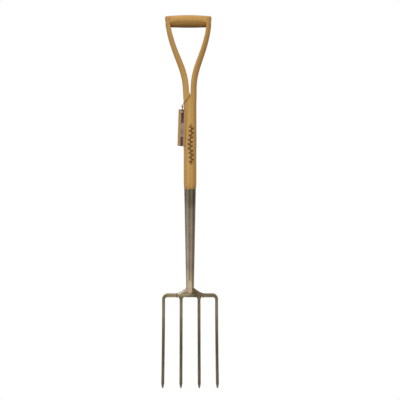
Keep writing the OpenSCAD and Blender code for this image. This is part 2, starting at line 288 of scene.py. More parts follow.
class Mat:
    def __init__(self, name):
        self.m = bpy.data.materials.new(name)
        self.m.use_nodes = True
        self.t = self.m.node_tree
        self.t.nodes.clear()
        self.out = self.t.nodes.new("ShaderNodeOutputMaterial")
        self.b = self.t.nodes.new("ShaderNodeBsdfPrincipled")
        self.t.links.new(self.b.outputs[0], self.out.inputs[0])

    def set(self, **k):
        for n, v in k.items():
            self.b.inputs[n.replace("_", " ")].default_value = v
        return self

    def link(self, name, v):
        self.t.links.new(v.s if isinstance(v, S) else v, self.b.inputs[name])

    def attr(self, name):
        n = self.t.nodes.new("ShaderNodeAttribute")
        n.attribute_name = name
        return n

    def val(self, name):
        return S(self.t, self.attr(name).outputs["Fac"])

    def xyz(self, vec):
        n = self.t.nodes.new("ShaderNodeSeparateXYZ")
        self.t.links.new(vec, n.inputs[0])
        return [S(self.t, o) for o in n.outputs]

    def vec(self, x, y, z):
        n = self.t.nodes.new("ShaderNodeCombineXYZ")
        for i, v in enumerate((x, y, z)):
            if isinstance(v, S):
                self.t.links.new(v.s, n.inputs[i])
            else:
                n.inputs[i].default_value = v
        return n.outputs[0]

    def scaled(self, vec, s):
        n = self.t.nodes.new("ShaderNodeVectorMath")
        n.operation = "MULTIPLY"
        self.t.links.new(vec, n.inputs[0])
        n.inputs[1].default_value = s
        return n.outputs[0]

    def noise(self, vec, scale=1.0, detail=2.0, rough=0.5, dist=0.0):
        n = self.t.nodes.new("ShaderNodeTexNoise")
        self.t.links.new(vec, n.inputs["Vector"])
        n.inputs["Scale"].default_value = scale
        n.inputs["Detail"].default_value = detail
        n.inputs["Roughness"].default_value = rough
        n.inputs["Distortion"].default_value = dist
        return S(self.t, n.outputs["Fac"])

    def mixc(self, f, a, b, mode="MIX"):
        n = self.t.nodes.new("ShaderNodeMix")
        n.data_type = "RGBA"
        n.blend_type = mode
        n.clamp_factor = True
        if isinstance(f, S):
            self.t.links.new(f.s, n.inputs[0])
        else:
            n.inputs[0].default_value = f
        for sock, v in ((n.inputs[6], a), (n.inputs[7], b)):
            if isinstance(v, tuple):
                sock.default_value = (*v, 1.0)
            else:
                self.t.links.new(v, sock)
        return n.outputs[2]

    def bump(self, h, strength, distance):
        n = self.t.nodes.new("ShaderNodeBump")
        n.inputs["Strength"].default_value = strength
        n.inputs["Distance"].default_value = distance
        self.t.links.new(h.s, n.inputs["Height"])
        self.t.links.new(n.outputs[0], self.b.inputs["Normal"])


def srgb(r, g, b):
    def f(c):
        c /= 255
        return c / 12.92 if c <= 0.04045 else ((c + 0.055) / 1.055) ** 2.4

    return (f(r), f(g), f(b))


# ---------------------------------------------------------------- materials
def wood_material(name, light, mid, dark, pith, coat=0.12, motif=False, seed=0.0, painted_barrel_shade=False):
    """Ash: growth rings about a pith outside the pole, open pores in the early wood, long streaks."""
    m = Mat(name)
    g = m.attr("grain").outputs["Vector"]
    x, y, z = m.xyz(g)
    warp = m.noise(m.scaled(g, (0.035, 0.035, 0.0022)), detail=2.0)
    warp2 = m.noise(m.scaled(g, (0.16, 0.16, 0.006)), detail=2.0)
    dx, dy = x - pith[0], y - pith[1]
    ring = (dx * dx + dy * dy).sqrt() + (warp - 0.5) * 11.0 + (warp2 - 0.5) * 1.6 + seed
    phase = (ring / 2.9).fract()
    late = phase.step(0.35, 0.9) * phase.step(1.0, 0.94)
    early = phase.step(0.0, 0.06) * phase.step(0.34, 0.12)
    fibre = m.noise(m.scaled(g, (1.5, 1.5, 0.016)), detail=3.0, rough=0.6)
    streak = m.noise(m.scaled(g, (0.22, 0.22, 0.0035)), detail=2.0)
    cloud = m.noise(m.scaled(g, (0.03, 0.03, 0.012)), detail=1.0)
    pore = m.noise(m.scaled(g, (3.4, 3.4, 0.11)), detail=1.0)
    pores = pore.step(0.56, 0.68) * (early * 0.85 + 0.12)
    c = m.mixc(streak.step(0.3, 0.72), light, mid)
    c = m.mixc(late * 0.34, c, dark)
    c = m.mixc((fibre.step(0.42, 0.72)) * 0.28, c, dark)
    c = m.mixc(pores * 0.5, c, tuple(v * 0.42 for v in dark))
    c = m.mixc(cloud.step(0.35, 0.75) * 0.22, c, mid)
    height = fibre * 0.35 - pores * 0.9 - late * 0.12
    rough = 0.36 + fibre * 0.12 + pores * 0.18
    if painted_barrel_shade:
        # painted shade: the barrel is darker from under the brow downward, deepest at its ends beside the arms and on
        # its front
        c = m.mixc(m.val("painted_barrel_shade") * (0.5 + cloud * 0.4), c, srgb(112, 72, 27))
    if motif:
        p = m.attr("face").outputs["Vector"]
        u, v, w = m.xyz(p)
        burn = sprig(m, u, v)
        char = m.noise(m.scaled(g, (1.2, 1.2, 0.35)), detail=3.0)
        edge = burn.step(0.05, 0.55)
        core = burn.step(0.35, 0.95)
        c = m.mixc(edge * (0.5 + char * 0.25), c, srgb(134, 82, 28))
        c = m.mixc(core * (0.6 + char * 0.5), c, srgb(78, 42, 13))
        height = height - core * 1.3
        rough = rough + core * 0.25
        # the wood is a shade darker on the bent arms, from about 290 mm above the socket's rim upward
        c = m.mixc(w.step(290.0, 390.0) * (0.2 + cloud * 0.14), c, dark)
        # grime, with painted shade where the wood meets the socket's rim, darkens a line just over the socket
        rim = w.step(11.0, 0.5)
        c = m.mixc(rim * (0.16 + char * 0.3), c, tuple(v * 0.55 for v in dark))
    m.link("Base Color", c)
    m.link("Roughness", rough)
    m.bump(height, 0.35, 0.00035)
    m.set(Coat_Weight=coat, Coat_Roughness=0.28, IOR=1.5)
    m.b.inputs["Specular IOR Level"].default_value = 0.42
    return m.m


def sprig(m, u, v):
    """How deep a burned leaf sprig is at (u across, v up), in mm: a wavy stem with leaves in pairs of two sizes."""
    stem_x = (v * 0.075).sin() * 2.1 + (v * 0.21).sin() * 0.5 + 2.2
    across = u - stem_x
    inside = v.step(0.0, 2.0) * v.step(128.0, 124.0)
    stem = across.abs().step(1.7, 0.7) * inside
    out = stem
    for side, shift, pitch, ln, wd, slope in (
        (1, 0.0, 13.2, 10.6, 3.5, 0.95),
        (-1, 6.6, 13.2, 10.2, 3.4, 0.95),
        (1, 7.4, 13.2, 5.6, 1.6, 0.55),
        (-1, 0.9, 13.2, 5.4, 1.6, 0.55),
    ):
        q = ((v + shift) / pitch).fract() * pitch
        # the leaf's own axis leans up and away from the stem
        s = across * side
        ca, sa = math.cos(slope), math.sin(slope)
        q = q - 1.4
        along = s * sa + q * ca
        cross = q * sa - s * ca
        t = along / ln
        half = ((t * math.pi).sin()).max(0.0) * wd
        lens = (half - cross.abs()) * t.gt(0.0) * t.lt(1.0)
        leaf = lens.step(0.0, 0.55)
        rib = cross.abs().step(0.22, 0.5)
        grow = (v.step(4.0, 9.0)) * (v.step(124.0, 112.0))
        out = out.max(leaf * (0.6 + rib * 0.4) * grow)
    berry_q = ((v + 3.0) / 26.4).fract() * 26.4 - 13.2
    d = ((across - 5.6).pow(2.0) + berry_q * berry_q).sqrt()
    out = out.max(d.step(1.7, 0.9) * inside)
    return out


def steel_material(name, base, dark, rough, streak=(0.5, 0.5, 0.006), grit=0.1, edge_light=0.0, tint=None):
    m = Mat(name)
    g = m.attr("grain").outputs["Vector"]
    line = m.noise(m.scaled(g, streak), detail=4.0, rough=0.65)
    blot = m.noise(m.scaled(g, (0.05, 0.05, 0.03)), detail=3.0)
    fine = m.noise(m.scaled(g, (2.2, 2.2, 1.1)), detail=2.0)
    c = m.mixc(blot.step(0.32, 0.72), base, dark)
    c = m.mixc(line.step(0.45, 0.75) * 0.35, c, tuple(v * 0.7 for v in dark))
    xyz = m.xyz(g)
    # each tint paints a band of colour by position; on this fork the tints are painted highlights and painted shade
    for axis, span, colour, share, *window in tint or ():
        f = xyz[axis].step(*span) * (0.5 + blot * 0.6) * share
        for wide, mid, half in window:
            f = f * (xyz[wide] - mid).abs().step(half * 1.25, half * 0.75)
        c = m.mixc(f, c, colour)
    r = rough + (line - 0.5) * 0.22 + (blot - 0.5) * 0.12 + (fine - 0.5) * grit
    if edge_light:
        e = m.val("edge")
        worn = (e * (0.6 + fine * 0.8)).clamp()
        c = m.mixc(worn * edge_light, c, srgb(205, 196, 178))
        r = r - worn * 0.08
    m.link("Base Color", c)
    m.link("Roughness", r.clamp())
    m.bump(line * 0.5 + fine * 0.5, 0.12, 0.00012)
    m.set(Metallic=1.0)
    return m.m


def card_material():
    m = Mat("kraft_card")
    p = m.attr("card").outputs["Vector"]
    u, v, w = m.xyz(p)
    fibre = m.noise(m.scaled(p, (1.4, 0.5, 1.0)), detail=4.0, rough=0.7)
    fleck = m.noise(m.scaled(p, (2.6, 0.9, 1.0)), detail=1.0)
    c = m.mixc(fibre.step(0.3, 0.7), srgb(196, 157, 106), srgb(174, 134, 86))
    c = m.mixc(fleck.step(0.66, 0.76) * 0.4, c, srgb(128, 88, 54))
    # a printed band down the middle of the front: slate, a pale panel with fine bars, slate again; about the hole the
    # band is painted near black as shadow
    wear = m.noise(m.scaled(p, (0.9, 0.9, 1.0)), detail=4.0, rough=0.7)
    band = (u - 1.3).abs().step(4.5, 4.2) * w.gt(0.5)
    # the top of the band, about the hole, is near black: painted shadow of the hole and the string; lower down it is
    # slate print
    slate = m.mixc(v.step(-9.0, -28.0), srgb(26, 17, 14), srgb(60, 56, 72))
    ink = m.mixc(wear.step(0.35, 0.7) * 0.4, slate, srgb(88, 82, 94))
    panel = v.step(-33.6, -34.4) * v.step(-75.6, -74.8)
    bars = (((v + 54.0) / 2.6).fract() - 0.5).abs().step(0.16, 0.3) * (v + 60.0).abs().step(7.5, 6.9)
    pale = m.mixc(bars * 0.75, srgb(150, 142, 132), srgb(84, 82, 92))
    ink = m.mixc(panel, ink, pale)
    edge_line = ((u - 1.3).abs() - 5.2).abs().step(0.28, 0.12) * w.gt(0.5)
    c = m.mixc(band * (0.86 + wear * 0.2), c, ink)
    c = m.mixc(edge_line * 0.5, c, srgb(150, 96, 60))
    # rubbed, darker rim of the card
    rim = (u.abs() - 11.2).max((v + 48.6).abs() - 53.7).step(0.0, 1.3)
    c = m.mixc(rim * (0.25 + wear * 0.3), c, srgb(150, 104, 66))
    m.link("Base Color", c)
    m.link("Roughness", 0.72 + fibre * 0.2 - band * 0.22)
    m.bump(fibre * 0.7 + band * 0.3, 0.25, 0.00018)
    m.b.inputs["Specular IOR Level"].default_value = 0.3
    return m.m


def jute_material():
    m = Mat("jute_twine")
    p = m.attr("twine").outputs["Vector"]
    u, v, w = m.xyz(p)
    hair = m.noise(m.scaled(p, (6.0, 6.0, 1.2)), detail=4.0, rough=0.75)
    tone = m.noise(m.scaled(p, (0.6, 0.6, 0.12)), detail=2.0)
    c = m.mixc(hair.step(0.3, 0.7), srgb(132, 98, 54), srgb(86, 60, 29))
    c = m.mixc(tone.step(0.4, 0.7) * 0.4, c, srgb(98, 72, 37))
    # painted shade in the grooves between the two plies
    groove = m.val("groove")
    c = m.mixc(groove * 0.6, c, srgb(60, 40, 18))
    m.link("Base Color", c)
    m.link("Roughness", 0.8 + hair * 0.15)
    m.bump(hair - groove * 0.6, 0.5, 0.0002)
    m.set(Sheen_Weight=0.25, Sheen_Roughness=0.5)
    m.b.inputs["Specular IOR Level"].default_value = 0.25
    return m.m


M_ASH = wood_material("ash_shaft", srgb(216, 178, 108), srgb(199, 155, 82), srgb(160, 110, 47), (34.0, 24.0), motif=True)
M_GRIP = wood_material("ash_grip", srgb(212, 171, 100), srgb(190, 142, 72), srgb(146, 94, 38), (26.0, -31.0), coat=0.22, seed=1.3, painted_barrel_shade=True)
# the socket's tints are painted light: a painted highlight lightens it towards its foot, painted shade darkens it
# towards the rim
M_SOCKET = steel_material(
    "stainless_socket", srgb(190, 184, 168), srgb(164, 157, 139), 0.27,
    tint=((2, (378.0, 314.0), srgb(222, 204, 174), 0.8), (2, (420.0, 600.0), srgb(128, 122, 103), 0.75), (2, (520.0, 580.0), srgb(98, 91, 74), 0.5)),
)
# the yoke's tints are painted light: a painted highlight on the neck's front facet, painted shade on the right
# shoulder, the left shoulder painted lighter as if lit
M_YOKE = steel_material(
    "forged_yoke", srgb(190, 178, 154), srgb(146, 133, 108), 0.42, streak=(0.25, 0.25, 0.25), grit=0.2,
    tint=((2, (284.0, 290.0), srgb(238, 219, 188), 0.9, (0, -0.6, 6.0)), (0, (6.0, 12.0), srgb(96, 87, 64), 0.9), (0, (-7.0, -18.0), srgb(208, 197, 173), 0.4)),
)
# painted shade: the tines darken towards their points
TINE_POINT_PAINTED_SHADE = (2, (266.0, 120.0), srgb(92, 86, 67), 0.75)
M_TINE = steel_material(
    "forged_tines", srgb(156, 145, 118), srgb(127, 117, 92), 0.42, streak=(0.45, 0.45, 0.02), grit=0.2, edge_light=0.2,
    tint=(TINE_POINT_PAINTED_SHADE,),
)
# a painted-lit copy of the tine steel for the left outer tine: its bend and crossbar are painted lighter
M_TINE_LEFT_PAINTED_LIGHT = steel_material(
    "forged_tine_left_painted_light", srgb(156, 145, 118), srgb(127, 117, 92), 0.42, streak=(0.45, 0.45, 0.02), grit=0.2, edge_light=0.2,
    tint=(TINE_POINT_PAINTED_SHADE, (2, (281.0, 292.0), srgb(206, 192, 160), 0.62)),
)
# a darker, painted-shade copy of the tine steel for the right inner tine
M_TINE_RIGHT_PAINTED_SHADE = steel_material(
    "forged_tine_right_painted_shade", srgb(138, 129, 104), srgb(112, 103, 80), 0.42, streak=(0.45, 0.45, 0.02), grit=0.2, edge_light=0.2,
    tint=(TINE_POINT_PAINTED_SHADE,),
)
M_WELD = steel_material("weld_fillets", srgb(150, 139, 113), srgb(112, 103, 81), 0.45, streak=(0.5, 0.5, 0.5), grit=0.3)
M_RIVET = steel_material("rivet_steel", srgb(176, 170, 160), srgb(128, 122, 112), 0.42, streak=(0.4, 0.4, 0.4), grit=0.25)
M_CARD = card_material()
M_JUTE = jute_material()

# ---------------------------------------------------------------- wishbone rules
CTL = [
    (FLARE_Z, SHAFT_R),
    (FLARE_Z + 0.2 * BOW_H, SHAFT_R + 6),
    (FLARE_Z + 0.34 * BOW_H, 5.5),
    (FLARE_Z + 0.555 * BOW_H, BOW_HALF + 0.5),
    (H, BOW_HALF),
]
BINOM = (1, 4, 6, 4, 1)
_t = np.linspace(0, 1, 2001)
_bz = sum(b * (1 - _t) ** (4 - i) * _t**i * CTL[i][0] for i, b in enumerate(BINOM))
_bw = sum(b * (1 - _t) ** (4 - i) * _t**i * CTL[i][1] for i, b in enumerate(BINOM))
_slope = np.gradient(_bw, _bz)


def w_out(z):
    return float(np.interp(z, _bz, _bw)) if z > FLARE_Z else SHAFT_R


def w_slope(z):
    return float(np.interp(z, _bz, _slope)) if z > FLARE_Z else 0.0


def lean(z):
    return -LEAN * max(0.0, z - FLARE_Z) / BOW_H


def arm_thick(z):
    return mix(T_ROOT, T_TOP, clamp01((z - SPLIT_Z) / (PLANE_Z - SPLIT_Z))) + 0.9 * math.exp(
        -(((z - FLARE_Z - 0.4 * BOW_H) / 40) ** 2)
    )


def grip_face(z):
    return FACE_W + 0.14 * (z - PLANE_Z)


def w_in(z):
    if z <= SPLIT_Z:
        return 0.0
    free = w_out(z) - arm_thick(z) * math.hypot(1, w_slope(z))
    kerf = min(1.75, math.sqrt(max(0.0, 3.0 * (z - SPLIT_Z))))
    base = max(kerf, free)
    if z > PLANE_Z:
        return grip_face(z)
    return mix(base, grip_face(z), ease((z - PLANE_Z + 22) / 22))


def arm_depth(z):
    return mix(
        2 * SHAFT_R + 0.8 * ease((z - FLARE_Z) / 20), ARM_D, ease((z - SPLIT_Z) / (0.55 * BOW_H))
    )


def crown(x):
    return -(x * x) / (2 * CROWN_R)


# ---------------------------------------------------------------- shaft
def pole_r(z):
    """Radius of the wood under the wishbone, tapered end and shoulder included."""
    if z < RIM_Z:
        return socket_inner(z) - 0.06
    if z < RIM_Z + 18:
        return mix(R_RIM + 0.15, SHAFT_R, ease((z - RIM_Z + 3) / 21) ** 0.8)
    if z < CLIP_TOP_Z:
        return SHAFT_R
    return SHAFT_R + (0.45 * ease((z - CLIP_TOP_Z) / 5) if z < CLIP_TOP_Z + 5 else mix(0.45, 0.1, (z - CLIP_TOP_Z - 5) / (FLARE_Z - CLIP_TOP_Z - 5)))


def build_shaft():
    ARC, COR, FLAT = 44, 6, 10
    NC = ARC + 1
    verts, grain, face, faces, index = [], [], [], [], {}

    def put(key, p, g):
        if key in index:
            return index[key]
        index[key] = len(verts)
        verts.append(p)
        grain.append(g)
        face.append((SHAFT_R * math.atan2(p[0], -p[1]), p[2] - 671.0, p[2] - RIM_Z))
        return index[key]

    def outline(side, z, grow=0.0, top=None, lift=0.0):
        """One arm's section at height z, drawn in by grow all round; top gives the crown's share."""
        wi, wo, b = w_in(z) + grow, w_out(z) - grow, arm_depth(z) / 2 - grow
        rc = mix(0.0, 3.0, clamp01((z - SPLIT_Z) / 26)) if z > SPLIT_Z else 0.0
        rc = mix(rc, 0.35, ease((z - (H - GRIP_H - 12)) / 16))
        rc = max(0.0, min(rc, (wo - wi) * 0.3))
        e = 0.96
        # just above the split an arm is still half of the round pole, less the slot; it gets its own D further up
        c0 = mix(0.0, wi + rc * 0.9, ease((z - SPLIT_Z) / 40))
        arc = []
        for i in range(ARC + 1):
            a = math.radians(-90 + 180 * i / ARC)
            ca, sa = abs(math.cos(a)), abs(math.sin(a))
            px = max(wi + rc * 0.9, c0 + (wo - c0) * (ca**e))
            py = math.copysign(b * sa**e, math.sin(a)) if abs(math.sin(a)) > 1e-9 else 0.0
            arc.append((px, py))
        cor_hi, cor_lo, flat = [], [], []
        for i in range(1, COR + 1):
            f = math.radians(90 * i / COR)
            cor_hi.append((wi + rc * 0.9 - rc * 0.9 * math.sin(f), b - rc + rc * math.cos(f)))
        for i in range(1, FLAT):
            flat.append((wi, mix(b - rc, -(b - rc), i / FLAT)))
        for i in range(0, COR):
            f = math.radians(90 * (1 - i / COR))
            cor_lo.append((wi + rc * 0.9 - rc * 0.9 * math.sin(f), -(b - rc) - rc * math.cos(f)))
        ring = arc + cor_hi + flat + cor_lo
        out = []
        for px, py in ring:
            x = lean(z) + side * px
            zz = z + lift
            if top is not None:
                zz = zz + top * crown(x - lean(z))
            out.append((x, py, zz))
        return out

    def grain_at(side, z, p):
        wi, wo = w_in(z), w_out(z)
        rel = side * (p[0] - lean(z))
        # the fibres part gradually above the split, so that no streak breaks off at it
        k = ease((z - SPLIT_Z) / 40)
        gx = side * mix(rel / wo * SHAFT_R, 0.9 + (rel - wi) / max(1e-6, wo - wi) * (SHAFT_R - 0.9), k)
        gy = p[1] * SHAFT_R / (arm_depth(z) / 2)
        return (gx, gy, arc_len(z))

    # length along the bent arm, so that the grain runs with it
    zs = np.linspace(FLARE_Z, H, 200)
    mid = np.array([w_out(z) for z in zs])
    seg = np.concatenate([[0], np.cumsum(np.hypot(np.diff(zs), np.diff(mid)))])

    def arc_len(z):
        return z if z < FLARE_Z else FLARE_Z + float(np.interp(z, zs, seg))

    # heights under the split: the tapered end, the shoulder and the straight part
    low = [SOCKET_Z + 96, SOCKET_Z + 98] + list(np.linspace(SOCKET_Z + 120, RIM_Z - 1, 12)) + [RIM_Z - 0.2]
    low += [RIM_Z + 0.05, RIM_Z + 0.5, RIM_Z + 1.2, RIM_Z + 2.2] + list(np.linspace(RIM_Z + 3.5, RIM_Z + 20, 12))
    low += list(np.linspace(RIM_Z + 26, FLARE_Z - 2, 44)) + list(np.linspace(FLARE_Z + 1, SPLIT_Z, 9))
    high = [SPLIT_Z + d for d in (0.12, 0.3, 0.6, 1.0, 1.6, 2.6, 4.2, 6.5)] + list(np.linspace(SPLIT_Z + 10, H - 8, 84))
    ease_r = 3.0

    for side in (1, -1):
        prev = None
        for iz, z in enumerate(low):
            if z <= FLARE_Z:
                r = pole_r(z)
                if iz == 0:
                    r -= 1.2
                ring = []
                for i in range(NC):
                    a = math.radians(-90 + 180 * i / ARC)
                    ring.append((side * r * math.cos(a), r * math.sin(a), z))
            else:
                ring = outline(side, z)[:NC]
            ids = []
            for i, p in enumerate(ring):
                key = ("seam", iz, i) if i in (0, ARC) else ("s", side, iz, i)
                q = (0.0 if z <= FLARE_Z else lean(z), p[1], p[2]) if i in (0, ARC) else p
                g = (q[0], q[1], z) if z <= FLARE_Z else grain_at(side, z, q)
                ids.append(put(key, q, g))
            if prev:
                for i in range(NC - 1):
                    faces.append((prev[i], prev[i + 1], ids[i + 1], ids[i]))
            prev = ids
        # close the blind end
        if side == 1:
            bottom_right = [put(("s", 1, 0, i) if i not in (0, ARC) else ("seam", 0, i), None, None) for i in range(NC)]
        else:
            bottom_left = [put(("s", -1, 0, i) if i not in (0, ARC) else ("seam", 0, i), None, None) for i in range(NC)]
        # the split's line: both arms' flat faces start from it
        b = arm_depth(SPLIT_Z) / 2
        line = []
        full0 = outline(side, SPLIT_Z)
        for j, p in enumerate(full0[NC:]):
            key = ("line", j)
            q = (lean(SPLIT_Z), p[1], SPLIT_Z)
            line.append(put(key, q, grain_at(side, SPLIT_Z, q)))
        prev = prev + line
        n = len(prev)
        for k, z in enumerate(high):
            share = ease((z - (H - 60)) / 52)
            ring = outline(side, z, top=share)
            ids = [put(("a", side, k, i), p, grain_at(side, z, p)) for i, p in enumerate(ring)]
            for i in range(n):
                j = (i + 1) % n
                faces.append((prev[i], prev[j], ids[j], ids[i]))
            prev = ids
        z0 = high[-1]
        for k, f in enumerate((0.0, 18, 36, 54, 72, 90)):
            a = math.radians(f)
            z = H - ease_r + ease_r * math.sin(a)
            ring = outline(side, min(z, H), grow=ease_r * (1 - math.cos(a)), top=1.0)
            ids = [put(("t", side, k, i), p, grain_at(side, z, p)) for i, p in enumerate(ring)]
            for i in range(n):
                j = (i + 1) % n
                faces.append((prev[i], prev[j], ids[j], ids[i]))
            prev = ids
        # top: smaller rings towards the middle line, then a closing face
        c = np.mean([verts[i] for i in prev], axis=0)
        for k, f in enumerate((0.35, 0.7)):
            ring = []
            for i in prev:
                p = verts[i]
                x = mix(p[0], c[0], f if k == 0 else 0.55)
                y = mix(p[1], 0.0, f if k == 0 else 0.4)
                ring.append((x, y, H + crown(x - lean(H))))
            ids = [put(("c", side, k, i), p, grain_at(side, H, p)) for i, p in enumerate(ring)]
            for i in range(n):
                j = (i + 1) % n
                faces.append((prev[i], prev[j], ids[j], ids[i]))
            prev = ids
        faces.append(tuple(prev))
    faces.append(tuple(bottom_right + bottom_left[-2:0:-1]))
    ob = new_object("ash_shaft", verts, faces)
    set_vec(ob, "grain", grain)
    set_vec(ob, "face", face)
    fix_normals(ob, 1e-7)
    return ob


def drum(r, h, at, n=48):
    """A plain cylinder along X, used only as a cutting tool."""
    return lathe("tool", [(0, -h / 2), (r, -h / 2), (r, h / 2), (0, h / 2)], n=n, axis="x", at=at)


shaft = build_shaft()
tools = [drum(2.5, 150, (lean(GRIP_RIVET_Z), 0, GRIP_RIVET_Z)), drum(2.5, 60, (0, 0, CROTCH_RIVET_Z))]
for s in (-1, 1):
    tools.append(drum(6.1, 10, (lean(GRIP_RIVET_Z) + s * (GRIP_SEAT + 5), 0, GRIP_RIVET_Z)))
    tools.append(drum(6.1, 10, (s * (CROTCH_SEAT + 5), 0, CROTCH_RIVET_Z)))
cut(shaft, tools)
smooth(shaft, 42)
finish_piece(shaft, M_ASH, "fork", ["shaft"])


# ---------------------------------------------------------------- grip
def build_grip():
    rings = []
    depths = (0.0, 0.3, 0.7, 1.1, 1.6, 2.2, 3.2, 4.6, 6.4, 8.5, 11.0, 13.5, 16.0, 18.2, 20.0, 21.4, 22.4)

    def section(s, reach=0.0):
        """A flat strip above the brow, a third of the way down; the barrel below it is set back, most of all at its ends."""
        x0 = s * grip_face(H - 2)
        top = H + crown(x0)
        low = H - GRIP_H - 1.2 * (1 - s * s) + 0.9
        brow = top - 15.8 - 3.6 * s**4
        d = GRIP_D / 2 - 0.6 * s * s
        step = 1.1 + 1.8 * abs(s) ** 3
        out = []
        for i in range(37):
            a = math.pi * i / 36
            sa, ca = math.sin(a), math.cos(a)
            out.append((math.copysign(d * abs(ca) ** 0.42, ca), brow + (top - brow) * abs(sa) ** 0.7))
        under = []
        full = brow - low
        for q in depths[1:]:
            t = q / 22.9
            sa = t ** (1 / 0.9)
            y = d * math.sqrt(1 - sa * sa) ** (1.4 + 0.2 * s * s) * (1 - step / d * ease(q / 1.7))
            under.append((y, brow - full * t))
        out += [(-y, z) for y, z in under] + [(0.0, low)] + under[::-1]
        return [(lean(z) + s * grip_face(z) + math.copysign(reach, s), y, z) for y, z in out]

    rings.append(section(-1.0, 0.5))
    for s in np.linspace(-1, 1, 61):
        rings.append(section(float(s)))
    rings.append(section(1.0, 0.5))
    ob = loft("grip_crosspiece", rings)
    co = coords(ob)
    set_vec(ob, "grain", np.stack([co[:, 1], co[:, 2] - 1100, co[:, 0] + 400], axis=1))
    # painted shade for the barrel: grows with depth below the brow, stronger at its ends and on its front
    painted_barrel_shade = []
    for x, y, z in co:
        s = min(1.0, abs(x - lean(z)) / grip_face(H - 2))
        depth = H + crown(s * grip_face(H - 2)) - 15.8 - 3.6 * s**4 - z
        painted_barrel_shade.append(0.78 * ease(depth / 1.2) * (0.66 + 0.34 * ease(depth / 18)) * (1 + 0.3 * s**6) * (0.75 if y > 0 else 1.0))
    set_val(ob, "painted_barrel_shade", painted_barrel_shade)
    return ob


grip = build_grip()
smooth(grip, 32)
finish_piece(grip, M_GRIP, "fork", ["grip"])


# ---------------------------------------------------------------- socket
def build_socket():
    n = 144
    prof = []
    for z in [SOCKET_Z + 0.0, SOCKET_Z + 0.3] + list(np.linspace(SOCKET_Z + 1.0, SOCKET_Z + 30, 24)) + list(
        np.linspace(SOCKET_Z + 36, RIM_Z - 3, 40)
    ):
        prof.append((socket_outer(z), z))
    # rolled lip
    r = socket_outer(RIM_Z)
    for f in (0, 25, 50, 75, 90):
        a = math.radians(f)
        prof.append((r - 0.4 + 0.4 * math.cos(a), RIM_Z - 0.4 + 0.4 * math.sin(a)))
    ri = socket_inner(RIM_Z)
    prof.append((ri + 0.2, RIM_Z))
    prof.append((ri, RIM_Z - 0.25))
    for z in np.linspace(RIM_Z - 6, SOCKET_Z, 30):
        prof.append((socket_inner(z), z))
    prof.append(prof[0])
    ob = lathe("tapered_socket", prof, n=n)
    co = coords(ob)
    for i, (x, y, z) in enumerate(co):
        rr = math.hypot(x, y)
        if rr > socket_inner(z) + 0.4 and z < FLAT_TOP_Z:
            lim = flat_y(z)
            if abs(y) > lim:
                co[i, 1] = math.copysign(lim, y)
    set_coords(ob, co)
    return ob


socket = build_socket()
cut(socket, [drum(2.5, 60, (0, 0, SOCKET_RIVET_Z))])
co = coords(socket)
set_vec(socket, "grain", np.stack([np.arctan2(co[:, 0], -co[:, 1]) * 15, np.hypot(co[:, 0], co[:, 1]) * 0.3, co[:, 2]], axis=1))
smooth(socket, 28)
finish_piece(socket, M_SOCKET, "fork", ["socket"])


# ---------------------------------------------------------------- tines
def rounded(w, d, c, n=5):
    """A rectangle w by d with corners rounded by c, anticlockwise; with each point goes how near a corner it is."""
    out = []
    for cx, cy, a0 in ((w / 2 - c, -d / 2 + c, -90), (w / 2 - c, d / 2 - c, 0), (-w / 2 + c, d / 2 - c, 90), (-w / 2 + c, -d / 2 + c, 180)):
        for i in range(n):
            f = i / (n - 1)
            a = math.radians(a0 + 90 * f)
            out.append((cx + c * math.cos(a), cy + c * math.sin(a), 1 - abs(2 * f - 1) * 0.55))
    return out


def fullness(z):
    return 1.0 if z >= POINT_L else 0.13 + 0.87 * math.sqrt(max(0.0, z) / POINT_L)


def hammer(z, k):
    """Slow unevenness of a hand-finished forging, a few hundredths of a millimetre."""
    return 0.10 * math.sin(z * 0.071 + k * 1.7) + 0.07 * math.sin(z * 0.173 + k * 2.9)


